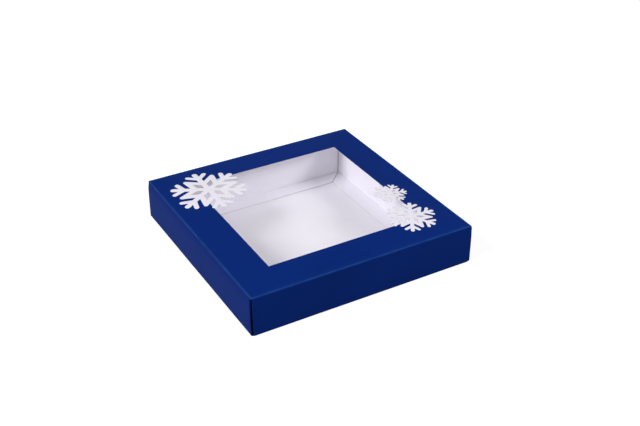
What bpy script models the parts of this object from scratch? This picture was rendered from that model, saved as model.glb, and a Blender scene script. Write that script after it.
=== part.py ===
"""A square chocolate box in folding boxboard, standing closed at its real size, in metres with +Z up.

A blue lid with a windowed, snowflaked top telescopes over a white tray with hollow walls. Both are
flat blanks that fold along scored creases. Each panel between two creases is an object of its own, and a
crease is the hairline between two of them. The origin is on the table, under the middle of the box.
The front is at -Y, and an inset is measured inwards from the lid's outer face.
"""

import math

import bmesh
import bpy
from mathutils import Matrix, Vector

MM = 0.001

# The box and its card
lid_side = 200 * MM
box_height = 35 * MM
card = 0.5 * MM
crease_gap = 0.3 * MM
crease_radius = 0.8 * MM
fold_land = 0.4 * MM
crease_steps = 4
same_place = 0.001 * MM
overrun = 2 * MM

# The lid's walls, hems and corner tabs
lid_foot_clearance = 0.2 * MM
corner_seam_top = 0.5 * MM
corner_seam_foot = 0.9 * MM
foot_corner_radius = 2.5 * MM
hem_headroom = 3 * MM
hem_end_lean = 2 * MM
lid_tab_length = 26 * MM
lid_tab_headroom = 1.5 * MM
tab_taper = 3 * MM

# The lid's top: border, film and snowflakes. A margin runs from a lid's edge to a snowflake's tip circle.
border_width = 29.6 * MM
film_thickness = 0.2 * MM
film_side_clearance = 3.5 * MM
film_corner_radius = 3 * MM
emboss = 0.1 * MM
large_flake_radius = 33 * MM
large_flake_left_margin = 5.4 * MM
large_flake_back_margin = 10.1 * MM
medium_flake_radius = 21.9 * MM
medium_flake_right_margin = 14.1 * MM
medium_flake_front_margin = 13.2 * MM
small_flake_radius = 15.2 * MM
small_flake_right_margin = 15.3 * MM
small_flake_front_margin = 59.9 * MM
small_flake_turn = math.radians(17)

# A snowflake's own form, as shares of the radius of its tip circle
branch_width_share = 0.142
prong_width_share = 0.125
prong_root_share = 0.645
prong_length_share = 0.376
petal_apex_share = 0.907
petal_round_share = 0.058
prong_angle = math.radians(48)
petal_half_angle = math.radians(22)
branches = 6
tip_steps = 4

# The tray
tray_fit_clearance = 0.6 * MM
hollow_wall_width = 14.8 * MM
flap_width = 14.5 * MM
flap_corner_play = 0.2 * MM
tray_tab_length = 22 * MM
tray_tab_headroom = 1.5 * MM

# What follows from the sizes above
half_side = lid_side / 2
bend_radius = crease_radius - card / 2
turned_edge = crease_radius + fold_land
panel_top = box_height - emboss
panel_middle = panel_top - card / 2
panel_under = panel_top - card
wall_top = panel_top - turned_edge - crease_gap
wall_cavity = card + 2 * crease_gap
hem_bend_radius = (wall_cavity + card) / 2
hem_inset = card / 2 + 2 * hem_bend_radius
foot_middle = lid_foot_clearance + card / 2
foot_leg_top = foot_middle + hem_bend_radius + fold_land
tray_inset = hem_inset + card / 2 + tray_fit_clearance
tray_wall_middle = tray_inset + card / 2
mouth_inset = tray_inset + hollow_wall_width
ledge_top = panel_under - crease_gap
ledge_middle = ledge_top - card / 2
hinge_inset = mouth_inset + crease_gap + card / 2
hinge_height = card + crease_gap + card / 2

SIDES = ("front", "right", "back", "left")
CORNERS = ((-1, -1), (1, -1), (1, 1), (-1, 1))


# Card shapes


def finished(bm, name):
    bmesh.ops.recalc_face_normals(bm, faces=bm.faces)
    mesh = bpy.data.meshes.new(name)
    bm.to_mesh(mesh)
    bm.free()
    return mesh


def bent_section(path, radius=bend_radius, rounded_root=False):
    """The section of a strip of card, as (inset, height) points, and how many of its edges are printed.

    The card's middle line follows the path and turns each corner on the radius. The points first run along
    the printed side, to the right of the path, and then back along the other side.
    """
    path = [Vector(point) for point in path]
    headings = [(end - start).normalized() for start, end in zip(path, path[1:])]
    stations = [(path[0], headings[0])]
    for corner, before, after in zip(path[1:-1], headings, headings[1:]):
        turn = math.atan2(before.cross(after), before.dot(after))
        arc_start = corner - before * radius * math.tan(abs(turn) / 2)
        to_centre = Vector((-before.y, before.x)) * math.copysign(radius, turn)
        for step in range(crease_steps + 1):
            swing = Matrix.Rotation(turn * step / crease_steps, 2)
            stations.append((arc_start + to_centre - swing @ to_centre, swing @ before))
    stations.append((path[-1], headings[-1]))

    spaced = stations[:1]
    for place, heading in stations[1:]:
        if (place - spaced[-1][0]).length > same_place:
            spaced.append((place, heading))
    printed = [place + Vector((heading.y, -heading.x)) * card / 2 for place, heading in spaced]
    back = [place - Vector((heading.y, -heading.x)) * card / 2 for place, heading in reversed(spaced)]
    root = []
    if rounded_root:
        for step in range(1, crease_steps):
            swing = Matrix.Rotation(math.pi * step / crease_steps, 2)
            root.append(path[0] + swing @ (back[-1] - path[0]))
    return printed + back + root, len(printed) - 1


def colour_back(faces, printed):
    """Leaves the first faces printed and gives the rest the card's own colour."""
    for face in faces[printed:]:
        face.material_index = 1


def mitred(gap):
    """How far a strip reaches either way along its side: to the box's diagonal, less a gap."""
    return lambda inset, height: half_side - inset - gap


def side_strip(name, section, reach):
    """A section drawn out along the front of the box, with its ends where reach puts them."""
    outline, printed = section
    bm = bmesh.new()
    left, right = (
        [
            bm.verts.new((end * reach(inset, height), inset - half_side, height))
            for inset, height in outline
        ]
        for end in (-1, 1)
    )
    count = len(outline)
    sides = []
    for k in range(count):
        after = (k + 1) % count
        sides.append(bm.faces.new((left[k], left[after], right[after], right[k])))
    colour_back(sides, printed)
    for end in (left, right):
        bm.faces.new(end).material_index = 1
    return finished(bm, name)


def square_sweep(name, section, capped=False):
    """A section carried round all four sides of the box, either as a ring or capped into a shallow pan."""
    outline, printed = section
    bm = bmesh.new()
    loops = [
        [bm.verts.new((x * (half_side - inset), y * (half_side - inset), height)) for x, y in CORNERS]
        for inset, height in outline
    ]
    joins = list(zip(loops, loops[1:] + loops[:1]))
    if capped:
        joins.pop()
        bm.faces.new(loops[0])
        bm.faces.new(loops[-1]).material_index = 1
    for k, (loop, after) in enumerate(joins):
        for start in range(len(CORNERS)):
            end = (start + 1) % len(CORNERS)
            face = bm.faces.new((loop[start], loop[end], after[end], after[start]))
            face.material_index = int(k >= printed)
    return finished(bm, name)


def add_slab(bm, outline, low, high, stand=lambda across, along, up: (across, along, up)):
    """A flat outline given a thickness, by default lying level."""
    lower = [bm.verts.new(stand(x, y, low)) for x, y in outline]
    upper = [bm.verts.new(stand(x, y, high)) for x, y in outline]
    bm.faces.new(lower)
    bm.faces.new(upper)
    for k in range(len(outline)):
        after = (k + 1) % len(outline)
        bm.faces.new((lower[k], lower[after], upper[after], upper[k]))


def slabs(name, outlines, low, high, **how):
    bm = bmesh.new()
    for outline in outlines:
        add_slab(bm, outline, low, high, **how)
    return finished(bm, name)


def against_front(across, up, inset):
    """Stands an (across, up) outline parallel to the front of the box, at an inset."""
    return (across, inset - half_side, up)


def corner_slits(name, inset, low, high):
    """Diagonal slits, as wide as the corner seams' tops, that part two bent edges where they meet."""
    outlines = []
    for x, y in CORNERS:
        out = Vector((x, y)).normalized()
        corner = Vector((x, y)) * (half_side - inset)
        across = Vector((-out.y, out.x)) * corner_seam_top / math.sqrt(2)
        outer, inner = corner + out * overrun, corner - out * overrun
        outlines.append([outer - across, outer + across, inner + across, inner - across])
    return slabs(name, outlines, low, high)


def arc(centre, radius, start, end, steps=tip_steps):
    return [
        Vector(centre) + radius * Vector((math.cos(angle), math.sin(angle)))
        for angle in (start + (end - start) * step / steps for step in range(steps + 1))
    ]


# Snowflakes


def meeting(point, direction, across):
    """Where the line through a point along a direction comes to an x of across."""
    return point + direction * (across - point.x) / direction.x


def sector(radius):
    """One sixth of a snowflake's edge: a branch along +Y, from the tip of the petal on its left to the right."""
    half_branch = radius * branch_width_share / 2
    half_prong = radius * prong_width_share / 2
    edge = arc((0, radius - half_branch), half_branch, math.pi / 2, 0)

    along = Vector((math.sin(prong_angle), math.cos(prong_angle)))
    over = Vector((-along.y, along.x)) * half_prong
    root = Vector((0, radius * prong_root_share))
    tip = root + along * (radius * prong_length_share - half_prong)
    edge.append(meeting(root + over, along, half_branch))
    edge += arc(tip, half_prong, math.pi - prong_angle, -prong_angle)
    edge.append(meeting(root - over, along, half_branch))

    half_turn = math.pi / branches
    out = Vector((math.sin(half_turn), math.cos(half_turn)))
    slope = half_turn + petal_half_angle
    inwards = Vector((-math.sin(slope), -math.cos(slope)))
    apex = out * radius * petal_apex_share
    tip_radius = radius * petal_round_share
    edge.append(meeting(apex, inwards, half_branch))
    middle = apex - out * tip_radius / math.sin(petal_half_angle)
    edge += arc(middle, tip_radius, math.pi - slope, math.pi / 2 - half_turn)

    mirrored = [Vector((-point.x, point.y)) for point in reversed(edge[1:])]
    return mirrored + edge[:-1]


def around(points, copies_turn, centre, turn):
    swing = Matrix.Rotation(copies_turn + turn, 2)
    return [Vector(centre) + swing @ point for point in points]


def flake_outline(radius, centre, turn):
    whole = []
    for copy in range(branches):
        whole += around(sector(radius), -copy * 2 * math.pi / branches, centre, turn)
    return whole


def flake_holes(radius, centre, turn):
    """The kite-shaped hole in each petal, a branch's width inside the petal's edges."""
    width = radius * branch_width_share
    half_turn = math.pi / branches
    near = width / 2 / math.sin(half_turn)
    far = radius * petal_apex_share - width / math.sin(petal_half_angle)
    reach = (far - near) / (math.cos(half_turn) + math.sin(half_turn) / math.tan(petal_half_angle))
    side = Vector((reach * math.sin(half_turn), near + reach * math.cos(half_turn)))
    kite = [Vector((0, near)), side, Vector((0, far)), Vector((-side.x, side.y))]
    return [
        around(kite, half_turn + copy * 2 * half_turn, centre, turn) for copy in range(branches)
    ]


# Materials and placing


def make_material(name, colour, roughness, alpha=1.0):
    material = bpy.data.materials.new(name)
    material.use_nodes = True
    material.diffuse_color = (*colour, alpha)
    shader = material.node_tree.nodes["Principled BSDF"]
    shader.inputs["Base Color"].default_value = (*colour, 1.0)
    shader.inputs["Roughness"].default_value = roughness
    shader.inputs["Metallic"].default_value = 0.0
    shader.inputs["Alpha"].default_value = alpha
    return material


def add_piece(name, mesh, parent, *materials):
    piece = bpy.data.objects.new(name, mesh)
    if not mesh.materials:
        for material in materials:
            mesh.materials.append(material)
    bpy.context.scene.collection.objects.link(piece)
    piece.parent = parent
    return piece


def combine(piece, guide, operation):
    """Joins or cuts a piece with a guide, a shape that no render shows."""
    guide.hide_render = True
    guide.display_type = "WIRE"
    modifier = piece.modifiers.new(guide.name, "BOOLEAN")
    modifier.operation = operation
    modifier.object = guide
    modifier.material_mode = "TRANSFER"


def turned_to(piece, side):
    """Turns a piece that is built at the front round to another side of the square box."""
    piece.rotation_euler.z = SIDES.index(side) * math.pi / 2
    return piece


def add_empty(name):
    empty = bpy.data.objects.new(name, None)
    bpy.context.scene.collection.objects.link(empty)
    return empty


# The lid


def lid_top(lid, printed_card, plain_card):
    """The bordered top with its turned-down edges. The snowflakes are the same card, raised and unprinted."""
    section = bent_section(
        [(border_width, panel_middle), (card / 2, panel_middle), (card / 2, panel_top - turned_edge)]
    )
    mesh = square_sweep("lid_top_panel", section)
    panel = add_piece("lid_top_panel", mesh, lid, printed_card, plain_card)
    right = half_side - medium_flake_right_margin - medium_flake_radius
    front = medium_flake_front_margin + medium_flake_radius - half_side
    small_right = half_side - small_flake_right_margin - small_flake_radius
    small_front = small_flake_front_margin + small_flake_radius - half_side
    left = large_flake_left_margin + large_flake_radius - half_side
    back = half_side - large_flake_back_margin - large_flake_radius
    flakes = {
        "large": (large_flake_radius, (left, back), 0),
        "medium": (medium_flake_radius, (right, front), math.pi / branches),
        "small": (small_flake_radius, (small_right, small_front), small_flake_turn),
    }
    low, high = panel_top - turned_edge - overrun, panel_under - crease_gap / 2
    slits = corner_slits("lid_corner_slits", 0, low, high)
    combine(panel, add_piece("lid_corner_slits", slits, lid, plain_card), "DIFFERENCE")
    for size, form in flakes.items():
        outline = slabs(size + "_flake", [flake_outline(*form)], panel_under + emboss, box_height)
        combine(panel, add_piece(size + "_flake", outline, lid, plain_card), "UNION")
    low, high = panel_under - overrun, box_height + overrun
    kites = [kite for form in flakes.values() for kite in flake_holes(*form)]
    holes = slabs("flake_holes", kites, low, high)
    combine(panel, add_piece("flake_holes", holes, lid, plain_card), "DIFFERENCE")


def window_film(lid, clear_film):
    """A clear sheet under the border. It clears the tray's mouth, which it drops into."""
    half = half_side - mouth_inset - film_side_clearance
    bend = half - film_corner_radius
    outline = []
    for quarter, (x, y) in enumerate(CORNERS):
        start = math.pi + quarter * math.pi / 2
        outline += arc((x * bend, y * bend), film_corner_radius, start, start + math.pi / 2)
    top = panel_under - crease_gap
    mesh = slabs("window_film", [outline], top - film_thickness, top)
    add_piece("window_film", mesh, lid, clear_film)


def lid_seam(inset, height):
    """A wall stops short of the box's corner, and the open seam widens towards the foot."""
    drop_share = (wall_top - height) / (wall_top - lid_foot_clearance)
    return half_side - inset - corner_seam_top - (corner_seam_foot - corner_seam_top) * drop_share


def foot_nips():
    """Outlines that round off both ends of a wall's folded foot."""
    end = lid_seam(0, lid_foot_clearance)
    below = lid_foot_clearance
    nips = []
    for side in (-1, 1):
        centre = (side * (end - foot_corner_radius), below + foot_corner_radius)
        rounding = arc(centre, foot_corner_radius, -math.pi / 2, -math.pi / 2 + side * math.pi / 2)
        beyond = side * (end + overrun)
        corner = [
            Vector((beyond, rounding[-1].y)),
            Vector((beyond, below - overrun)),
            Vector((rounding[0].x, below - overrun)),
        ]
        nips.append(rounding + corner)
    return nips


def lid_walls(lid, printed_card, plain_card):
    """Four walls folded double at the foot, and the hems that stand up behind them."""
    wall_path = [
        (card / 2, wall_top),
        (card / 2, foot_middle),
        (hem_inset, foot_middle),
        (hem_inset, foot_leg_top),
    ]
    wall_section = bent_section(wall_path, radius=hem_bend_radius)
    wall = side_strip("lid_wall", wall_section, lid_seam)
    nips = slabs(
        "lid_foot_nips",
        foot_nips(),
        -overrun,
        tray_inset,
        stand=against_front,
    )
    hem_low = foot_leg_top + crease_gap
    hem_high = panel_under - hem_headroom
    hem_section = bent_section([(hem_inset, hem_low), (hem_inset, hem_high)])

    def hem_end(inset, height):
        lean = hem_end_lean * (height - hem_low) / (hem_high - hem_low)
        return half_side - inset - corner_seam_foot - lean

    hem = side_strip("lid_hem", hem_section, hem_end)
    for side in SIDES:
        piece = turned_to(add_piece("lid_wall_" + side, wall, lid, printed_card, plain_card), side)
        nip = turned_to(add_piece("lid_foot_nips_" + side, nips, lid, plain_card), side)
        combine(piece, nip, "DIFFERENCE")
        turned_to(add_piece("lid_hem_" + side, hem, lid, printed_card, plain_card), side)


def corner_tabs(name, parent, material, inset, length, low, high):
    """The left and right walls' end tabs, tucked round the corners behind the front and back walls."""
    inner = half_side - inset - length
    outer = half_side - inset
    outline = [(outer, low), (outer, high), (inner, high - tab_taper), (inner, low + tab_taper)]
    for side, ends in (("front", ("right", "left")), ("back", ("left", "right"))):
        for direction, end in zip((1, -1), ends):
            placed = [(direction * across, up) for across, up in outline]
            mesh = slabs(name, [placed], inset, inset + card, stand=against_front)
            turned_to(add_piece("_".join((name, side, end)), mesh, parent, material), side)


# The tray


def tray_pieces(tray, plain_card):
    floor_path = [
        (tray_inset + turned_edge, card / 2),
        (tray_wall_middle, card / 2),
        (tray_wall_middle, turned_edge),
    ]
    mesh = square_sweep("tray_floor", bent_section(floor_path), capped=True)
    floor = add_piece("tray_floor", mesh, tray, plain_card)
    low, high = card + crease_gap / 2, turned_edge + overrun
    slits = corner_slits("tray_corner_slits", tray_inset, low, high)
    combine(floor, add_piece("tray_corner_slits", slits, tray, plain_card), "DIFFERENCE")

    outer_path = [
        (tray_wall_middle, turned_edge + crease_gap),
        (tray_wall_middle, ledge_middle),
        (tray_inset + turned_edge, ledge_middle),
    ]
    ledge_path = [
        (tray_inset + turned_edge + crease_gap, ledge_middle),
        (mouth_inset - turned_edge - crease_gap, ledge_middle),
    ]
    inner_path = [
        (mouth_inset - turned_edge, ledge_middle),
        (mouth_inset - card / 2, ledge_middle),
        (mouth_inset - card / 2, card + crease_gap),
    ]
    strips = {"tray_outer_wall": outer_path, "tray_ledge": ledge_path, "tray_inner_wall": inner_path}
    for name, path in strips.items():
        mesh = side_strip(name, bent_section(path), mitred(crease_gap))
        for side in SIDES:
            turned_to(add_piece(name + "_" + side, mesh, tray, plain_card), side)


def floor_flaps(tray, plain_card):
    """Each flap lies on the floor and folds up about the crease at its inner wall's foot.

    When two neighbours stand up, each needs the other's thickness at their shared corner.
    """
    path = [(hinge_inset, hinge_height), (mouth_inset + flap_width, hinge_height)]
    section = bent_section(path, rounded_root=True)
    mesh = side_strip("tray_floor_flap", section, mitred(card + flap_corner_play))
    root = Vector((0, hinge_inset - half_side, hinge_height))
    mesh.transform(Matrix.Translation(-root))
    for side in SIDES:
        flap = turned_to(add_piece("tray_floor_flap_" + side, mesh, tray, plain_card), side)
        flap.location = Matrix.Rotation(flap.rotation_euler.z, 3, "Z") @ root


def main():
    for thing in list(bpy.data.objects):
        bpy.data.objects.remove(thing)

    printed_card = make_material("blue_printed_card", (0.006, 0.026, 0.178), 0.42)
    plain_card = make_material("white_card", (0.80, 0.78, 0.83), 0.6)
    clear_film = make_material("clear_film", (0.96, 0.97, 0.98), 0.06, alpha=0.18)

    lid = add_empty("lid")
    lid_top(lid, printed_card, plain_card)
    window_film(lid, clear_film)
    lid_walls(lid, printed_card, plain_card)
    lid_tab_foot = foot_middle + hem_bend_radius + crease_gap
    corner_tabs(
        "lid_corner_tab",
        lid,
        printed_card,
        card + crease_gap,
        lid_tab_length,
        lid_tab_foot,
        panel_under - lid_tab_headroom,
    )

    tray = add_empty("tray")
    tray_pieces(tray, plain_card)
    corner_tabs(
        "tray_corner_tab",
        tray,
        plain_card,
        tray_inset + card + crease_gap,
        tray_tab_length,
        card + tray_tab_headroom,
        ledge_top - card - tray_tab_headroom,
    )
    floor_flaps(tray, plain_card)


main()
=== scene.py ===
"""The look of a square chocolate box: a blue lid with a window and white snowflakes, on a white tray."""

import math

import bpy
from mathutils import Matrix, Vector
from mathutils.geometry import delaunay_2d_cdt


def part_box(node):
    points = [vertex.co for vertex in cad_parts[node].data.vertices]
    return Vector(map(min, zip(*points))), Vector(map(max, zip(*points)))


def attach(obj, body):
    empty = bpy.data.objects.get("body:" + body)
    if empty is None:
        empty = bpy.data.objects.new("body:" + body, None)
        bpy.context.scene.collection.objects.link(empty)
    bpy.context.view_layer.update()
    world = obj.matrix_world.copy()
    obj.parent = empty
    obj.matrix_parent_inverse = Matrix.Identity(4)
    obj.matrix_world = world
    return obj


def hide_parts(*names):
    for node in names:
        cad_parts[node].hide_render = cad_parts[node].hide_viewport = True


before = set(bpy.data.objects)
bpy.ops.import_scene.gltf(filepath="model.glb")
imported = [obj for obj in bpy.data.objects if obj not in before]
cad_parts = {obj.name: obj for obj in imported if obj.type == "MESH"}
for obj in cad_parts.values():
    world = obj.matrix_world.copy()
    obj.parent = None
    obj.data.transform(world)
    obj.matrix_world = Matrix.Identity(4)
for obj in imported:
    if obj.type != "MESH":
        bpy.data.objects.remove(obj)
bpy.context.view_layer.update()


# The tray is one blank of white folding boxboard, half a millimetre thick. It is scored and folded up, over
# and down again into four hollow walls. Its face is felted from short fibres, and a cut shows greyer pulp.

MM = 0.001
SIDES = ("front", "right", "back", "left")
CORNERS = [side + "_" + end for side in ("front", "back") for end in ("left", "right")]
floor_low, floor_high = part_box("tray_floor")
ledge_low, ledge_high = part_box("tray_ledge_front")
inner_face = -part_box("tray_inner_wall_front")[1].y
board = ledge_high.z - ledge_low.z
score_radius = 0.55 * MM
fold_steps = 8
flat_step = 4 * MM
columns = 40
same_place = 0.02 * MM
touching = 0.001 * MM
sharp_edge = math.radians(28)
corner_slit = 0.25 * MM
tray_mitre_gap = 0.5 * MM
inner_corner_gap = 0.75 * MM
# How many places round a corner the painted shade on a tucked fold and tab takes to deepen.
tuck_shade_steps = 5
tray_unevenness = (0.12 * MM, 0.12 * MM, 0.0)
tray_wander_size = 70 * MM


def node(tree, kind, inputs=(), **settings):
    """A new node. Each input is given by name or number, as a value or as another node's output."""
    made = tree.nodes.new(kind)
    for name, value in settings.items():
        setattr(made, name, value)
    for key, value in dict(inputs).items():
        if isinstance(value, bpy.types.NodeSocket):
            tree.links.new(value, made.inputs[key])
        else:
            made.inputs[key].default_value = value
    return made


def maths(tree, operation, *values):
    """What comes of a sum with one or more values."""
    return node(tree, "ShaderNodeMath", enumerate(values), operation=operation).outputs[0]


def ramp(tree, value, low, high, from_value=0.0, to_value=1.0):
    """Goes from one value to the other as the input rises from low to high."""
    ends = {"Value": value, "From Min": low, "From Max": high, "To Min": from_value, "To Max": to_value}
    return node(tree, "ShaderNodeMapRange", ends, clamp=True).outputs["Result"]


def blend(tree, share, first, second):
    """A colour between two others."""
    return node(tree, "ShaderNodeMix", {0: share, 6: first, 7: second}, data_type="RGBA").outputs[2]


def noise_at(tree, place, size, detail=2.0):
    """Noise whose features are about as large as size."""
    inputs = {"Vector": place, "Scale": maths(tree, "DIVIDE", 1.0, size), "Detail": detail}
    return node(tree, "ShaderNodeTexNoise", inputs).outputs["Fac"]


def new_group(name, kind, inputs, outputs):
    """An empty node group with typed sockets, what it is given and what it puts out."""
    group = bpy.data.node_groups.new(name, kind)
    for way, sockets in (("INPUT", inputs), ("OUTPUT", outputs)):
        for socket, socket_type in sockets.items():
            group.interface.new_socket(socket, in_out=way, socket_type="NodeSocket" + socket_type)
    return group, node(group, "NodeGroupInput").outputs, node(group, "NodeGroupOutput").inputs


fibre_draw = 0.16
fibre_depth = 0.5
pore_share = 0.5
fleck_range = (0.40, 0.47)
tone_range = (0.3, 0.7)
faintest_fold_line = 0.4
fold_line_fading = 1.5
felt_range = (0.3, 1.0)
felt_strength = 0.6
board_mottle_size = 38 * MM
board_fold_patch_size = 9 * MM
board_fleck_share = 0.35
board_fold_grey_share = 0.2


def board_fibres():
    """The felted face of paperboard: how high it stands, how its tone drifts, and where a dark fibre lies."""
    group, given, result = new_group(
        "Board fibres",
        "ShaderNodeTree",
        {"Grain Size": "Float", "Mottle Size": "Float"},
        {"Height": "Float", "Mottle": "Float", "Fleck": "Float"},
    )
    place = node(group, "ShaderNodeTexCoord").outputs["Object"]
    laid = []
    for stretch in ((1.0, fibre_draw, fibre_depth), (fibre_draw, 1.0, fibre_depth)):
        drawn = node(group, "ShaderNodeVectorMath", {0: place, 1: stretch}, operation="MULTIPLY").outputs[0]
        laid.append(noise_at(group, drawn, given["Grain Size"]))
    felt = maths(group, "MAXIMUM", *laid)
    pores = noise_at(group, place, given["Grain Size"], detail=4.0)
    group.links.new(maths(group, "MULTIPLY_ADD", pores, pore_share, felt), result["Height"])
    group.links.new(noise_at(group, place, given["Mottle Size"], detail=3.0), result["Mottle"])
    group.links.new(ramp(group, maths(group, "MULTIPLY", *laid), *fleck_range), result["Fleck"])
    return group


def uneven_fold_line():
    """An uneven line along a fold, fainter in patches; on the print it is partly wear and partly painted
    highlight.
    """
    group, given, result = new_group(
        "Uneven fold line", "ShaderNodeTree", {"Fold": "Float", "Patch Size": "Float"}, {"Fold Line": "Float"}
    )
    place = node(group, "ShaderNodeTexCoord").outputs["Object"]
    patches = ramp(group, noise_at(group, place, given["Patch Size"], detail=4.0), *tone_range, faintest_fold_line)
    sharpened = maths(group, "POWER", given["Fold"], fold_line_fading)
    group.links.new(maths(group, "MULTIPLY", sharpened, patches), result["Fold Line"])
    return group


fibres = board_fibres()
fold_line_group = uneven_fold_line()


def new_material(name):
    """A material with its node tree and its shader."""
    material = bpy.data.materials.new(name)
    material.use_nodes = True
    return material, material.node_tree, material.node_tree.nodes["Principled BSDF"]


def felt_and_fold_line(tree, grain_size, mottle_size, patch_size):
    """The board's fibres, its folds and the uneven line along them, placed in a material with their own
    sizes.
    """
    sizes = {"Grain Size": grain_size, "Mottle Size": mottle_size}
    felt = node(tree, "ShaderNodeGroup", sizes, node_tree=fibres).outputs
    fold = node(tree, "ShaderNodeAttribute", attribute_name="fold").outputs["Fac"]
    along_folds = {"Fold": fold, "Patch Size": patch_size}
    fold_line = node(tree, "ShaderNodeGroup", along_folds, node_tree=fold_line_group).outputs["Fold Line"]
    return felt, fold, fold_line


def felted(tree, shader, felt, relief, smooth, rough, shine):
    """Roughness and relief that follow the felt of the board."""
    tree.links.new(ramp(tree, felt["Height"], *felt_range, smooth, rough), shader.inputs["Roughness"])
    raised = {"Height": felt["Height"], "Distance": relief, "Strength": felt_strength}
    tree.links.new(node(tree, "ShaderNodeBump", raised).outputs["Normal"], shader.inputs["Normal"])
    shader.inputs["Specular IOR Level"].default_value = shine


def bare_board(name, pale, dark, fleck, grain_size, relief, smooth, rough, shine):
    """Unprinted paperboard, from its two tones, its fleck's colour, and how coarse, deep and rough it is."""
    material, tree, shader = new_material(name)
    felt, _, fold_line = felt_and_fold_line(tree, grain_size, board_mottle_size, board_fold_patch_size)
    toned = blend(tree, ramp(tree, felt["Mottle"], *tone_range), (*dark, 1), (*pale, 1))
    flecked = blend(tree, maths(tree, "MULTIPLY", felt["Fleck"], board_fleck_share), toned, (*fleck, 1))
    # Greyer along the folds, unevenly.
    creased = blend(tree, maths(tree, "MULTIPLY", fold_line, board_fold_grey_share), flecked, (*fleck, 1))
    tree.links.new(creased, shader.inputs["Base Color"])
    felted(tree, shader, felt, relief, smooth, rough, shine)
    return material


white_board = bare_board(
    "White board",
    pale=(0.925, 0.895, 0.975),
    dark=(0.90, 0.87, 0.95),
    fleck=(0.62, 0.60, 0.63),
    grain_size=0.45 * MM,
    relief=0.03 * MM,
    smooth=0.55,
    rough=0.75,
    shine=0.2,
)
cut_board = bare_board(
    "Cut board",
    pale=(0.80, 0.78, 0.80),
    dark=(0.66, 0.64, 0.66),
    fleck=(0.45, 0.43, 0.43),
    grain_size=0.25 * MM,
    relief=0.05 * MM,
    smooth=0.8,
    rough=0.95,
    shine=0.1,
)


def folded(path):
    """A board's middle line through (out, up, radius) corners, as stations of (out, up, fold).

    Out is measured from the middle of the box, and fold is 1 where the board is bent most. A corner that
    the line doesn't turn at is only a stop.
    """
    corners = [Vector(corner[:2]) for corner in path]
    stations = [(*corners[0], 0.0)]

    def run_to(end):
        """Stations along a straight run, about a flat step apart."""
        start = Vector(stations[-1][:2])
        length = (end - start).length
        if length > same_place:
            parts = max(1, round(length / flat_step))
            stations.extend((*start.lerp(end, k / parts), 0.0) for k in range(1, parts + 1))

    for k in range(1, len(path) - 1):
        corner, radius = corners[k], path[k][2]
        heading, leaving = (corner - corners[k - 1]).normalized(), (corners[k + 1] - corner).normalized()
        turn = math.atan2(heading.cross(leaving), heading.dot(leaving))
        start = corner - heading * radius * math.tan(abs(turn) / 2)
        run_to(start)
        if radius:
            to_centre = Vector((-heading.y, heading.x)) * math.copysign(radius, turn)
            for step in range(1, fold_steps + 1):
                swing = Matrix.Rotation(turn * step / fold_steps, 2)
                place = start + to_centre - swing @ to_centre
                stations.append((*place, math.sin(math.pi * step / fold_steps)))
    run_to(corners[-1])
    return stations


def across(left, right):
    """Where the columns of a strip stand, evenly between its two ends."""
    return [left + (right - left) * k / columns for k in range(columns + 1)]


def to_corners(out):
    """Columns that run on to the box's corners, past a slit's width."""
    return [-out, *across(corner_slit - out, out - corner_slit), out]


def sheet_object(name, verts, faces, **attributes):
    """A sheet that has no thickness yet. An attribute is a list of numbers, one for each vertex or face."""
    mesh = bpy.data.meshes.new(name)
    mesh.from_pydata(verts, [], faces)
    for attribute, values in attributes.items():
        domain = "POINT" if len(values) == len(verts) else "FACE"
        mesh.attributes.new(attribute, "FLOAT", domain).data.foreach_set("value", values)
    sheet = bpy.data.objects.new(name, mesh)
    bpy.context.scene.collection.objects.link(sheet)
    return sheet


def no_tabs(out, up):
    """Nothing goes on round either end of a row."""
    return [], []


def straight(out, along):
    """Every place along a row stands equally far out."""
    return out


def side_strip(name, stations, corner_rows, ends, tucked=no_tabs, skewed=straight):
    """One side of a blank, bent along the front of the box.

    Its first rows run out to the box's corners, where they meet the next side's. From there on, ends says
    where a row's left and right ends stand, and tucked lists the (along, out, up) places that go on round its
    left and right end, where fold falls to -1, which paints shade on the print there. Skewed says how far out
    a place along a row stands. The face wraps round every free end.
    """
    verts, faces, rows, fold, wrapped = [], [], [], [], []
    for index, (out, up, bend) in enumerate(stations):
        in_corners = index <= corner_rows
        if in_corners:
            places, beyond = to_corners(out)[1:-1], ([(-out, out, up)], [(out, out, up)])
        else:
            places, beyond = across(*ends(out, up)), tucked(out, up)
        left, right = ([(along, -away, height) for along, away, height in end] for end in beyond)
        row = [*reversed(left), *((x, -skewed(out, x), up) for x in places), *right]
        rows.append((len(left), range(len(verts), len(verts) + len(row))))
        verts += row
        # Past a row's ends fold falls towards -1: painted shade on the folds and tabs tucked round the
        # corners.
        tuck_shade = [bend if in_corners else -min(1.0, step / tuck_shade_steps) ** 2 for step in range(1, len(left) + 1)]
        fold += [*reversed(tuck_shade), *([bend] * len(places)), *tuck_shade]
        at_end = [1.0] * (len(left) + 1)
        wrapped += at_end + [0.0] * (len(row) - 2 * len(at_end)) + at_end
    for (beyond, before), (beyond_after, after) in zip(rows, rows[1:]):
        if beyond != beyond_after:
            before = before[beyond : len(before) - beyond]
            after = after[beyond_after : len(after) - beyond_after]
        faces += [(before[k], after[k], after[k + 1], before[k + 1]) for k in range(len(after) - 1)]
    return sheet_object(name, verts, faces, fold=fold, wrapped=wrapped)


def joined(tree, *geometries):
    """Several geometries as one."""
    made = node(tree, "GeometryNodeJoinGeometry")
    for geometry in geometries:
        tree.links.new(geometry, made.inputs[0])
    return made.outputs[0]


def attribute_field(tree, name):
    """The numbers that a sheet carries under this name."""
    found = node(tree, "GeometryNodeInputNamedAttribute", {"Name": name}, data_type="FLOAT")
    return found.outputs["Attribute"]


surfaces = {"Face": "Material", "Back": "Material", "Edge": "Material"}
mostly = 0.6


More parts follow.
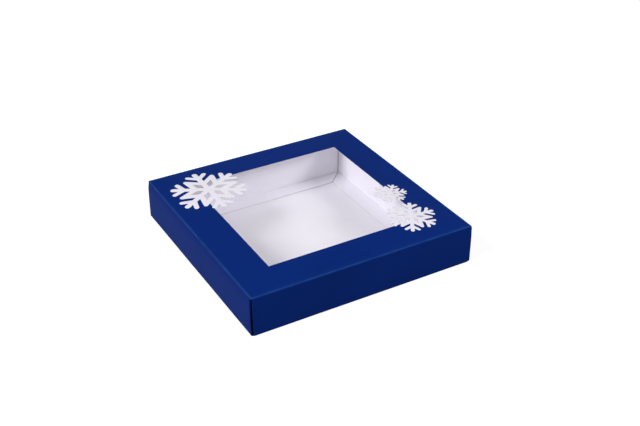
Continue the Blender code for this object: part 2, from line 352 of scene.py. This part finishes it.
def board_on_sheet():
    """Gives a sheet its board, half of it either side, closes every free edge, and sets the materials."""
    group, given, result = new_group(
        "Board on a sheet",
        "GeometryNodeTree",
        {"Sheet": "Geometry", "Thickness": "Float", **surfaces},
        {"Board": "Geometry"},
    )
    normal = node(group, "GeometryNodeInputNormal").outputs[0]
    half = maths(group, "MULTIPLY", given["Thickness"], -0.5)
    down = node(group, "ShaderNodeVectorMath", {0: normal, "Scale": half}, operation="SCALE").outputs[0]
    back = node(group, "GeometryNodeSetPosition", {"Geometry": given["Sheet"], "Offset": down}).outputs[0]
    rise = {"Mesh": back, "Offset Scale": given["Thickness"], "Individual": False}
    raised = node(group, "GeometryNodeExtrudeMesh", rise).outputs
    turned = node(group, "GeometryNodeFlipFaces", {"Mesh": back}).outputs[0]
    both = {"Geometry": joined(group, raised["Mesh"], turned), "Distance": touching}
    closed = node(group, "GeometryNodeMergeByDistance", both).outputs[0]
    finished = node(group, "GeometryNodeRealizeInstances", {"Geometry": closed}).outputs[0]

    at_end = maths(group, "GREATER_THAN", attribute_field(group, "wrapped"), mostly)
    is_printed = maths(group, "LESS_THAN", attribute_field(group, "unprinted"), 0.5)
    printed_top = maths(group, "MULTIPLY", raised["Top"], is_printed)
    wrapped_side = maths(group, "MULTIPLY", raised["Side"], at_end)
    face = maths(group, "MAXIMUM", printed_top, wrapped_side)
    edge = maths(group, "SUBTRACT", raised["Side"], wrapped_side)
    for name, selection in (("Back", True), ("Face", face), ("Edge", edge)):
        inputs = {"Geometry": finished, "Selection": selection, "Material": given[name]}
        finished = node(group, "GeometryNodeSetMaterial", inputs).outputs[0]
    group.links.new(finished, result["Board"])
    return group


boarded = board_on_sheet()


def folded_blank():
    """Sets folded sides all round a square panel, one kind at front and back and one at left and right.

    The whole sheet wanders a little, as board does, before it gets its thickness.
    """
    group, given, result = new_group(
        "Folded blank",
        "GeometryNodeTree",
        {
            "Panel": "Geometry",
            "Front And Back": "Object",
            "Left And Right": "Object",
            "Thickness": "Float",
            "Unevenness": "Vector",
            "Wander Size": "Float",
            "Seed": "Float",
            **surfaces,
        },
        {"Blank": "Geometry"},
    )
    points = node(group, "GeometryNodePoints", {"Count": len(SIDES)}).outputs[0]
    index = node(group, "GeometryNodeInputIndex").outputs[0]
    quarters = maths(group, "MULTIPLY", index, math.pi / 2)
    euler = node(group, "ShaderNodeCombineXYZ", {"Z": quarters}).outputs[0]
    turn = node(group, "FunctionNodeEulerToRotation", {0: euler}).outputs[0]
    is_odd = maths(group, "MODULO", index, 2.0)
    is_even = maths(group, "SUBTRACT", 1.0, is_odd)
    sides = []
    for name, chosen in (("Front And Back", is_even), ("Left And Right", is_odd)):
        side = node(group, "GeometryNodeObjectInfo", {"Object": given[name]}).outputs["Geometry"]
        placing = {"Points": points, "Selection": chosen, "Instance": side, "Rotation": turn}
        sides.append(node(group, "GeometryNodeInstanceOnPoints", placing).outputs[0])
    real = node(group, "GeometryNodeRealizeInstances", {"Geometry": joined(group, *sides)}).outputs[0]
    loose = {"Geometry": joined(group, given["Panel"], real), "Distance": same_place}
    whole = node(group, "GeometryNodeMergeByDistance", loose).outputs[0]

    place = node(group, "GeometryNodeInputPosition").outputs[0]
    wave = {"Vector": place, "W": given["Seed"], "Scale": maths(group, "DIVIDE", 1.0, given["Wander Size"])}
    colour = node(group, "ShaderNodeTexNoise", wave, noise_dimensions="4D").outputs["Color"]
    to_both_sides = {0: colour, 1: (2.0,) * 3, 2: (-1.0,) * 3}
    centred = node(group, "ShaderNodeVectorMath", to_both_sides, operation="MULTIPLY_ADD").outputs[0]
    sized = {0: centred, 1: given["Unevenness"]}
    shift = node(group, "ShaderNodeVectorMath", sized, operation="MULTIPLY").outputs[0]
    wandered = node(group, "GeometryNodeSetPosition", {"Geometry": whole, "Offset": shift}).outputs[0]
    inputs = {"Sheet": wandered, **{name: given[name] for name in ("Thickness", *surfaces)}}
    group.links.new(node(group, "GeometryNodeGroup", inputs, node_tree=boarded).outputs[0], result["Blank"])
    return group


blank = folded_blank()


def made_up(sheet, tree, inputs):
    """Runs a tree on a sheet, and leaves the result as the sheet's own plain mesh."""
    modifier = sheet.modifiers.new(tree.name, "NODES")
    modifier.node_group = tree
    for socket in tree.interface.items_tree:
        if socket.in_out == "INPUT" and socket.name in inputs:
            modifier[socket.identifier] = inputs[socket.name]
    depsgraph = bpy.context.evaluated_depsgraph_get()
    mesh = bpy.data.meshes.new_from_object(sheet.evaluated_get(depsgraph), depsgraph=depsgraph)
    sheet.modifiers.clear()
    sheet.data = mesh
    mesh.shade_smooth()
    mesh.set_sharp_from_angle(angle=sharp_edge)
    return sheet


def all_round(name):
    """The nodes of this name on all four sides."""
    return [name + "_" + side for side in SIDES]


tray_out = floor_high.x - board / 2
tray_floor_up = floor_low.z + board / 2
ledge_up = (ledge_low.z + ledge_high.z) / 2
mouth_out = inner_face + board / 2
tray_side = folded(
    [
        (tray_out - score_radius, tray_floor_up, 0),
        (tray_out, tray_floor_up, score_radius),
        (tray_out, ledge_up, score_radius),
        (mouth_out, ledge_up, score_radius),
        (mouth_out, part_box("tray_floor_flap_front")[0].z, 0),
    ]
)


def tray_mitre(out, up):
    """The tray's sides stop a hair short of the diagonal, and the inner walls a little more."""
    gap = inner_corner_gap if out < mouth_out + same_place else tray_mitre_gap
    return gap - out, out - gap


tray_strip = side_strip("tray_side", tray_side, fold_steps, tray_mitre)
floor_lines = to_corners(tray_side[0][0])
floor_count = len(floor_lines)
tray_board = sheet_object(
    "tray_board",
    [(x, y, tray_floor_up) for y in floor_lines for x in floor_lines],
    [
        (row + k, row + k + 1, row + floor_count + k + 1, row + floor_count + k)
        for row in range(0, floor_count * (floor_count - 1), floor_count)
        for k in range(floor_count - 1)
    ],
)
made_up(
    tray_board,
    blank,
    {
        "Front And Back": tray_strip,
        "Left And Right": tray_strip,
        "Thickness": board,
        "Unevenness": tray_unevenness,
        "Wander Size": tray_wander_size,
        "Seed": 3.0,
        "Face": white_board,
        "Back": white_board,
        "Edge": cut_board,
    },
)
bpy.data.objects.remove(tray_strip)
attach(tray_board, "tray")
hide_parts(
    "tray_floor",
    *all_round("tray_outer_wall"),
    *all_round("tray_ledge"),
    *all_round("tray_inner_wall"),
)


# The tray's corner tabs are the ends of its left and right outer walls, tucked into the hollow of the front
# and back ones. They are the same board, and only show when the lid is off and a wall is opened.

for corner in CORNERS:
    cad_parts["tray_corner_tab_" + corner].material_slots[0].material = white_board


# The floor flaps are the last panels of the blank. They fold in from the foot of each inner wall and lie on
# the floor, mitred at the corners, a little unevenly.

flap_low, flap_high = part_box("tray_floor_flap_front")
flap_up = (flap_low.z + flap_high.z) / 2
flap_reach = 0.2 * MM
flap_root, flap_edge = flap_reach - flap_low.y, -flap_high.y
flap_mitre = -flap_low.y - flap_high.x
flap_rows = 6
flap_lift = {"front": 0.05 * MM, "right": 0.22 * MM, "back": 0.03 * MM, "left": 0.05 * MM}
flap_spring = 0.06 * MM
flap_waves = 5
flap_finish = {"Thickness": board, "Face": white_board, "Back": white_board, "Edge": cut_board}

for number, side in enumerate(SIDES):
    verts, faces, fold = [], [], []
    for row in range(flap_rows + 1):
        share = row / flap_rows
        out = flap_root + (flap_edge - flap_root) * share
        for x in across(flap_mitre - out, out - flap_mitre):
            spring = flap_spring * math.cos(flap_waves * x / flap_root + number)
            up = flap_up + share**2 * (flap_lift[side] + spring)
            verts.append(Matrix.Rotation(number * math.pi / 2, 3, "Z") @ Vector((x, -out, up)))
            fold.append(float(row == 0))
    for start in range(0, flap_rows * (columns + 1), columns + 1):
        after = start + columns + 1
        faces += [(start + k, start + k + 1, after + k + 1, after + k) for k in range(columns)]
    flap = sheet_object("flap_board_" + side, verts, faces, fold=fold)
    made_up(flap, boarded, flap_finish)
    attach(flap, "flap_" + side)
    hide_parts("tray_floor_flap_" + side)


# The lid is one blank of the same board, printed blue on its face. Its top is cut out to a window, its walls
# are folded double at the foot, and the snowflakes are left unprinted and pressed up from behind. Its
# unprinted white is a darker copy of the tray's, as painted shade.

panel_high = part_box("lid_top_panel")[1]
wall_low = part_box("lid_wall_front")[0]
hem_low, hem_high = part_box("lid_hem_front")
tab_low, tab_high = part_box("lid_corner_tab_front_left")
lid_half = panel_high.x
emboss = 0.1 * MM
emboss_slope = 0.2 * MM
border_width = 29.6 * MM
top_crown = 1.7 * MM
crown_ease = 0.15
crown_corner = 4
crease_land = 1.2 * MM
land_steps = 3
crease_rest = 1.0 * MM
# How far either side of its station a crease's paler line, partly wear and partly painted highlight, reaches.
fold_line_reach = 1.2 * MM
wall_steps = 10
wall_rows_towards_crease = 1.6
foot_row_shares = (0.75, 0.5)
wall_bow = 1.0 * MM
wall_skew = 0.3 * MM
bow_ease = 3.5 * MM
left_seam_top = 0.3 * MM
left_seam_foot = 0.9 * MM
right_seam = 0.2 * MM
foot_rounding = 2.5 * MM
foot_radius = 0.3 * MM
hem_seam = 3.2 * MM
hem_lean = 2 * MM
# The radius of the fold at a wall's left and at its right end, and how far it is pressed in.
tab_folds = ((0.6 * MM, 0.0), (1.0 * MM, 1.2 * MM))
tab_fold_steps = 7
press_ease = 6 * MM
tab_shares = (0.12, 0.4, 0.7, 1.0)
tab_taper = 3 * MM
tab_foot = 1.5 * MM
lid_unevenness = (0.15 * MM, 0.15 * MM, 0.08 * MM)
lid_wander_size = 60 * MM

lid_out = lid_half - board / 2
lid_up = panel_high.z - emboss - board / 2
foot_up = wall_low.z + board / 2
hem_out = -(hem_low.y + hem_high.y) / 2
tab_plane = -(tab_low.y + tab_high.y) / 2
top_reach = lid_out - score_radius - crease_land
window_half = lid_half - border_width

print_mottle_size = 55 * MM
print_fold_patch_size = 12 * MM
print_tones = (0.94, 1.06)
print_fleck_share = 0.06


def print_with_wear_and_painted_light(name, ink, worn_and_highlight, tuck_shade_share, grain_size, relief, smooth, rough, shine):
    """Satin ink on board: a flat colour that drifts a little and is paler along the folds, partly from wear
    and partly as a painted highlight.

    Where a tab tucks in behind a corner, the ink is darkened as painted shade.
    """
    material, tree, shader = new_material(name)
    felt, fold, fold_line = felt_and_fold_line(tree, grain_size, print_mottle_size, print_fold_patch_size)
    deep, strong = ((*(channel * share for channel in ink), 1) for share in print_tones)
    toned = blend(tree, ramp(tree, felt["Mottle"], *tone_range), deep, strong)
    thin = blend(tree, maths(tree, "MULTIPLY", felt["Fleck"], print_fleck_share), toned, (*worn_and_highlight, 1))
    # Paler along the folds: partly wear, partly painted highlight where a fold would catch the light.
    along_folds = blend(tree, fold_line, thin, (*worn_and_highlight, 1))
    # Painted shade: where fold falls below 0, on the folds and tabs tucked round the corners, the ink darkens
    # towards a small share of itself.
    dark = (*(channel * tuck_shade_share for channel in ink), 1)
    shaded = blend(tree, ramp(tree, fold, -1.0, 0.0, 1.0, 0.0), along_folds, dark)
    tree.links.new(shaded, shader.inputs["Base Color"])
    felted(tree, shader, felt, relief, smooth, rough, shine)
    return material


blue_print = print_with_wear_and_painted_light(
    "Blue print",
    ink=(0.0028, 0.0213, 0.164),
    # The paler blue of thin ink and of the folds' line, which is partly wear and partly painted highlight.
    worn_and_highlight=(0.016, 0.058, 0.245),
    # The share of the ink left on the tucked folds and tabs, as painted shade.
    tuck_shade_share=0.1,
    grain_size=0.4 * MM,
    relief=0.02 * MM,
    smooth=0.38,
    rough=0.52,
    shine=0.010,
)
# A darker copy of the tray's white board, though the lid is the same board: its lower tone is painted shade
# on the snowflakes and the lid's back.
shaded_lid_white = bare_board(
    "Shaded lid white board",
    pale=(0.84, 0.82, 0.90),
    dark=(0.81, 0.79, 0.87),
    fleck=(0.62, 0.60, 0.63),
    grain_size=0.45 * MM,
    relief=0.03 * MM,
    smooth=0.55,
    rough=0.75,
    shine=0.2,
)


def crown(x, y):
    """How far the lid's top stands up: evenly from its folds to the window, then levelling out inside it."""
    from_sides = [max(top_reach - abs(place), same_place) / border_width for place in (x, y)]
    share = sum(distance**-crown_corner for distance in from_sides) ** (-1 / crown_corner)
    if share <= 1:
        return top_crown * share
    return top_crown * (1 + crown_ease * (1 - math.exp(-(share - 1) / crown_ease)))


def foot_nip(up):
    """How much a wall's end is rounded off near the foot."""
    above = foot_rounding - min(up - foot_up, foot_rounding)
    return foot_rounding - math.sqrt(foot_rounding**2 - above**2)


def hem_end(up):
    """How far along its wall a hem reaches. Its ends lean in towards its upper edge."""
    return hem_out - hem_seam - max(0, hem_lean * (up - hem_low.z) / (hem_high.z - hem_low.z))


def front_ends(out, up):
    """The front and back walls stop short of the corners, and one of their seams opens towards the foot."""
    if out < hem_out + board:
        return -hem_end(up), hem_end(up)
    opened = (left_seam_foot - left_seam_top) * (lid_up - up) / (lid_up - foot_up)
    return left_seam_top + opened - lid_half, lid_half - right_seam - foot_nip(up)


def fold_starts(up):
    """How far along a left or right wall the folds at its two ends start.

    The fold that is pressed in comes out again towards the foot.
    """
    pressed = min(1, (up - foot_up) / press_ease)
    return [tab_plane - sink * pressed - radius for radius, sink in tab_folds]


def side_ends(out, up):
    """The left and right walls run to where they fold round into their tabs."""
    if out < hem_out + board:
        return -hem_end(up), hem_end(up)
    left, right = fold_starts(up)
    return -left, right


def side_skew(out, along):
    """The left and right walls stand out of true a little more at one end than at the other."""
    return out - wall_skew * min(max(out - lid_out, 0) / wall_bow, 1) * along / lid_half


def tabs_round_corners(out, up):
    """The corner tabs: round the fold at either end of a wall, then along behind the next wall.

    One end is folded sharply. The other is rounder and pressed in, which leaves a dark gap at the corner.
    Past the wall's ends, the folds and tabs are darkened by painted shade. A fold's lowest row hangs down
    over the wall's rounded foot.
    """
    if out < hem_out + board or up > tab_high.z + same_place or up < foot_up + foot_radius - same_place:
        return [], []
    below = (tab_high.z - up) / (tab_high.z - foot_up)
    hung = board if up < foot_up + foot_radius + same_place else 0
    tabs = []
    for end, start, (radius, _) in zip((-1, 1), fold_starts(up), tab_folds):
        root = side_skew(out, end * start) - radius
        turns = (math.pi / 2 * step / tab_fold_steps for step in range(1, tab_fold_steps + 1))
        places = [
            (end * (start + radius * math.sin(turn)), root + radius * math.cos(turn), up - hung)
            for turn in turns
        ]
        length = root + tab_high.x
        for share in tab_shares:
            tapered = tab_taper * share
            raised = up + below * (tab_foot + tapered) - (1 - below) * tapered
            places.append((end * tab_plane, root - length * share, raised))
        tabs.append(places)
    return tabs


def lid_path(bow, fold_line_at):
    """A side of the lid, from the border over its crease and down to the foot, and up again as a hem.

    The bow is how far the wall stands out of true once it is below its crease. The crease gets a paler line,
    partly wear and partly painted highlight, round the station that the second argument gives.
    """
    height = lid_up - foot_up
    lowest = height - foot_rounding
    shares = ((k / wall_steps) ** wall_rows_towards_crease for k in range(wall_steps + 1))
    drops = [crease_rest + (lowest - crease_rest) * share for share in shares]
    drops += [height - share * foot_rounding for share in foot_row_shares]
    stations = folded(
        [
            *((top_reach + crease_land * k / land_steps, lid_up, 0) for k in range(land_steps)),
            (lid_out, lid_up, score_radius),
            *(
                (lid_out + bow * (1 - math.exp((crease_rest - drop) / bow_ease)), lid_up - drop, 0)
                for drop in drops
            ),
            (lid_out + bow, foot_up, foot_radius),
            (hem_out + bow, foot_up, foot_radius),
            (hem_out, hem_high.z, 0),
        ]
    )
    crease = Vector(stations[fold_line_at][:2])
    fold_line = (1 - (Vector(station[:2]) - crease).length_squared / fold_line_reach**2 for station in stations)
    return [(out, up, max(0, worn_and_highlight)) for (out, up, _), worn_and_highlight in zip(stations, fold_line)]


def arc(centre, radius, start, end, steps=6):
    """Points round a centre, from one angle to another."""
    return [
        Vector(centre) + radius * Vector((math.cos(angle), math.sin(angle)))
        for angle in (start + (end - start) * step / steps for step in range(steps + 1))
    ]


branches = 6
branch_width_share = 0.142
prong_width_share = 0.125
prong_root_share = 0.645
prong_length_share = 0.376
prong_angle = math.radians(48)
petal_apex_share = 0.907
petal_half_angle = math.radians(22)
petal_round_share = 0.058
sharpest = 0.3


def flake_sector(radius):
    """One branch of a snowflake with its two prongs, and half a petal on either side of it."""
    half_branch = radius * branch_width_share / 2
    half_prong = radius * prong_width_share / 2
    half_turn = math.pi / branches

    def crossing(point, heading):
        """Where a line meets the branch's edge."""
        return point + heading * (half_branch - point.x) / heading.x

    edge = arc((0, radius - half_branch), half_branch, math.pi / 2, 0)
    along = Vector((math.sin(prong_angle), math.cos(prong_angle)))
    over = Vector((-along.y, along.x)) * half_prong
    root = Vector((0, radius * prong_root_share))
    tip = root + along * (radius * prong_length_share - half_prong)
    edge.append(crossing(root + over, along))
    edge += arc(tip, half_prong, math.pi - prong_angle, -prong_angle)
    edge.append(crossing(root - over, along))

    out = Vector((math.sin(half_turn), math.cos(half_turn)))
    slope = half_turn + petal_half_angle
    apex = out * radius * petal_apex_share
    tip_radius = radius * petal_round_share
    edge.append(crossing(apex, Vector((-math.sin(slope), -math.cos(slope)))))
    middle = apex - out * tip_radius / math.sin(petal_half_angle)
    edge += arc(middle, tip_radius, math.pi - slope, math.pi / 2 - half_turn)
    return [Vector((-point.x, point.y)) for point in reversed(edge[1:])] + edge[:-1]


def placed(points, turn, centre):
    """Points turned and then moved to a centre."""
    swing = Matrix.Rotation(turn, 2)
    return [Vector(centre) + swing @ point for point in points]


def flake_outline(radius, centre, turn):
    """A whole snowflake's edge, counter-clockwise."""
    sector = flake_sector(radius)[::-1]
    step = 2 * math.pi / branches
    return [point for copy in range(branches) for point in placed(sector, turn + copy * step, centre)]


def flake_kites(radius, centre, turn):
    """The kite-shaped hole in each petal, a branch's width inside the petal's edges."""
    width = radius * branch_width_share
    half_turn = math.pi / branches
    near = width / 2 / math.sin(half_turn)
    far = radius * petal_apex_share - width / math.sin(petal_half_angle)
    length = (far - near) / (math.cos(half_turn) + math.sin(half_turn) / math.tan(petal_half_angle))
    side = Vector((length * math.sin(half_turn), near + length * math.cos(half_turn)))
    kite = [Vector((0, near)), side, Vector((0, far)), Vector((-side.x, side.y))]
    return [placed(kite, turn + (2 * copy + 1) * half_turn, centre) for copy in range(branches)]


def drawn_in(outline, distance):
    """A counter-clockwise outline moved inwards by a distance, though less at a very sharp point."""
    moved = []
    for before, point, after in zip(outline[-1:] + outline[:-1], outline, outline[1:] + outline[:1]):
        heading, leaving = (point - before).normalized(), (after - point).normalized()
        bisector = Vector((-heading.y - leaving.y, heading.x + leaving.x))
        moved.append(point + bisector * distance / max(bisector.length_squared / 2, sharpest))
    return moved


def grid(reach, step):
    """Places all over a square that reaches this far from its middle, short of its edges."""
    count = round(2 * reach / step)
    lines = [reach * (2 * k / count - 1) for k in range(1, count)]
    return [Vector((x, y)) for x in lines for y in lines]


def crowned_sheet(name, flat, cells, up, lifted=(), **attributes):
    """A sheet cut flat, set at a height and crowned as the lid's top is. The lifted places are embossed."""
    used = sorted({corner for cell in cells for corner in cell})
    renumbered = {corner: number for number, corner in enumerate(used)}
    return sheet_object(
        name,
        [(*flat[k], up + crown(*flat[k]) + emboss * (k in lifted)) for k in used],
        [[renumbered[corner] for corner in cell] for cell in cells],
        **attributes,
    )


# Each snowflake's radius, centre and turn.
large_flake = (33 * MM, (-61.6 * MM, 56.9 * MM), 0)
medium_flake = (21.9 * MM, (64.0 * MM, -64.9 * MM), math.pi / branches)
small_flake = (15.2 * MM, (69.5 * MM, -24.9 * MM), math.radians(17))
flakes = (large_flake, medium_flake, small_flake)
outlines = [flake_outline(*flake) for flake in flakes]
raised = [drawn_in(outline, emboss_slope) for outline in outlines]
kites = [kite for flake in flakes for kite in flake_kites(*flake)]
square = ((-1, -1), (1, -1), (1, 1), (-1, 1))
window = [Vector((x * window_half, y * window_half)) for x, y in square]

top_step = 5 * MM
places = grid(top_reach, top_step)
panel_edge = [
    Matrix.Rotation(number * math.pi / 2, 2) @ Vector((x, -top_reach))
    for number in range(len(SIDES))
    for x in to_corners(top_reach)[:-1]
]
loops = []
for shape in (panel_edge, window, *outlines, *raised, *kites):
    loops.append(list(range(len(places), len(places) + len(shape))))
    places += shape
flat, _, cells, _, _, within = delaunay_2d_cdt(places, [], loops, 0, touching)
in_panel, in_opening, first_outline = range(3)
first_raised = first_outline + len(outlines)
first_kite = first_raised + len(raised)
kept, unprinted, lifted = [], [], set()
for cell, shapes in zip(cells, within):
    in_flake = any(first_outline <= shape < first_raised for shape in shapes)
    is_open = in_opening in shapes and not in_flake
    if in_panel not in shapes or is_open or any(shape >= first_kite for shape in shapes):
        continue
    kept.append(cell)
    unprinted.append(float(in_flake))
    if any(first_raised <= shape < first_kite for shape in shapes):
        lifted.update(cell)
lid_board = crowned_sheet("lid_board", flat, kept, lid_up, lifted, unprinted=unprinted)
lid_corner_rows = land_steps + fold_steps
# The folds' paler line, partly painted highlight, lies just before the front and back creases and in the
# middle of the left and right ones.
front_path = lid_path(0, land_steps - 1)
front_strip = side_strip("lid_front", front_path, lid_corner_rows, front_ends)
left_path = lid_path(wall_bow, land_steps + fold_steps // 2)
left_strip = side_strip("lid_left", left_path, lid_corner_rows, side_ends, tabs_round_corners, side_skew)
made_up(
    lid_board,
    blank,
    {
        "Front And Back": front_strip,
        "Left And Right": left_strip,
        "Thickness": board,
        "Unevenness": lid_unevenness,
        "Wander Size": lid_wander_size,
        "Seed": 8.0,
        "Face": blue_print,
        "Back": shaded_lid_white,
        "Edge": cut_board,
    },
)
bpy.data.objects.remove(front_strip)
bpy.data.objects.remove(left_strip)
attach(lid_board, "lid")
corner_tabs = ["lid_corner_tab_" + corner for corner in CORNERS]
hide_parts("lid_top_panel", *all_round("lid_wall"), *all_round("lid_hem"), *corner_tabs)


# The film is a clear sheet glued under the border, behind the window and the snowflakes. It lies smooth,
# with faint waves where it was stretched flat.

film_low, film_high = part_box("window_film")
film_corner = 3 * MM
film_step = 5 * MM
marks_to_a_wave = 4
mark_range = (0.45, 0.75)
wave_strength = 0.5


def clear_sheet(name, tint, alpha, smooth, rough, wave_size, relief):
    """Clear film: it mostly lets light through, with a gloss that faint waves and finger marks break up."""
    material, tree, shader = new_material(name)
    place = node(tree, "ShaderNodeTexCoord").outputs["Object"]
    wave = noise_at(tree, place, wave_size, detail=1.0)
    marks = noise_at(tree, place, wave_size / marks_to_a_wave, detail=5.0)
    shader.inputs["Base Color"].default_value = (*tint, 1)
    shader.inputs["Alpha"].default_value = alpha
    tree.links.new(ramp(tree, marks, *mark_range, smooth, rough), shader.inputs["Roughness"])
    waved = {"Height": wave, "Distance": relief, "Strength": wave_strength}
    tree.links.new(node(tree, "ShaderNodeBump", waved).outputs["Normal"], shader.inputs["Normal"])
    return material


clear_film = clear_sheet(
    "Clear film",
    tint=(0.96, 0.97, 0.98),
    alpha=0.07,
    smooth=0.05,
    rough=0.16,
    wave_size=40 * MM,
    relief=0.4 * MM,
)
film_bend = film_high.x - film_corner
film_edge = []
for quarter, (x, y) in enumerate(square):
    start = math.pi + quarter * math.pi / 2
    film_edge += arc((x * film_bend, y * film_bend), film_corner, start, start + math.pi / 2)
film_places = film_edge + grid(film_high.x, film_step)
film_loop = list(range(len(film_edge)))
flat, _, cells, _, _, within = delaunay_2d_cdt(film_places, [], [film_loop], 0, touching)
film_cells = [cell for cell, shapes in zip(cells, within) if shapes]
film_sheet = crowned_sheet("film_sheet", flat, film_cells, (film_low.z + film_high.z) / 2)
film_thickness = film_high.z - film_low.z
made_up(film_sheet, boarded, {"Thickness": film_thickness, **dict.fromkeys(surfaces, clear_film)})
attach(film_sheet, "lid")
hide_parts("window_film")


# The box stands on a wide pale table in an evenly white room, between two soft square lamps: the main one on
# its left, and one ahead of it to the right, so that the corner nearest the camera lies in between.

ambient = 0.15
floor_colour = 0.5
floor_glow = 0.72
table_size = 60
table_drop = 0.1 * MM
lamp_size = 1.3
lamp_distance = 3.0
# Each lamp's bearing from the box, its height above the table in degrees, and its power in watts.
lamps = {
    "Left lamp": ((-1, 0, 0), 38, 69),
    "Front right lamp": ((0.72, -0.69, 0), 39, 53),
}


def seen_rays(tree):
    """1 for rays that show the background: from the camera, in a reflection or through film."""
    rays = node(tree, "ShaderNodeLightPath").outputs
    mirrored = maths(tree, "MAXIMUM", rays["Is Glossy Ray"], rays["Is Transmission Ray"])
    return maths(tree, "MAXIMUM", rays["Is Camera Ray"], mirrored)


world = bpy.data.worlds.new("White room")
bpy.context.scene.world = world
world.use_nodes = True
room = world.node_tree
strength = maths(room, "MULTIPLY_ADD", seen_rays(room), 1.0 - ambient, ambient)
room.links.new(strength, room.nodes["Background"].inputs["Strength"])
room.nodes["Background"].inputs["Color"].default_value = (1, 1, 1, 1)

table_top, table, table_shader = new_material("Pale table")
table_shader.inputs["Base Color"].default_value = (floor_colour, floor_colour, floor_colour, 1)
table_shader.inputs["Roughness"].default_value = 0.9
table_shader.inputs["Specular IOR Level"].default_value = 0.0
table_shader.inputs["Emission Color"].default_value = (1, 1, 1, 1)
glow = maths(table, "MULTIPLY", seen_rays(table), floor_glow)
table.links.new(glow, table_shader.inputs["Emission Strength"])
bpy.ops.mesh.primitive_plane_add(size=table_size, location=(0, 0, -table_drop))
ground = bpy.context.object
ground.name = "table"
ground.data.materials.append(table_top)

for name, (bearing, degrees_up, power) in lamps.items():
    lamp_data = bpy.data.lights.new(name, "AREA")
    lamp_data.size = lamp_size
    lamp_data.energy = power
    lamp = bpy.data.objects.new(name, lamp_data)
    bpy.context.scene.collection.objects.link(lamp)
    rise = math.radians(degrees_up)
    towards_lamp = Vector(bearing).normalized() * math.cos(rise) + Vector((0, 0, math.sin(rise)))
    lamp.location = towards_lamp * lamp_distance
    lamp.rotation_mode = "QUATERNION"
    lamp.rotation_quaternion = towards_lamp.to_track_quat("Z", "Y")

azimuth, elevation = math.radians(-29.92), math.radians(31.70)
looked_at = Vector((0.0309, 0.0273, 0.0004))
camera_distance = 0.9248
camera_data = bpy.data.cameras.new("Camera")
camera_data.lens = 58.455
camera_data.sensor_width = 36
camera_data.clip_start = 0.01
camera = bpy.data.objects.new("Camera", camera_data)
bpy.context.scene.collection.objects.link(camera)
level = Vector((math.sin(azimuth), -math.cos(azimuth), 0)) * math.cos(elevation)
towards_camera = level + Vector((0, 0, math.sin(elevation)))
camera.location = looked_at + towards_camera * camera_distance
camera.rotation_mode = "QUATERNION"
camera.rotation_quaternion = (-towards_camera).to_track_quat("-Z", "Y")
bpy.context.scene.camera = camera
bpy.context.scene.view_settings.view_transform = "Standard"
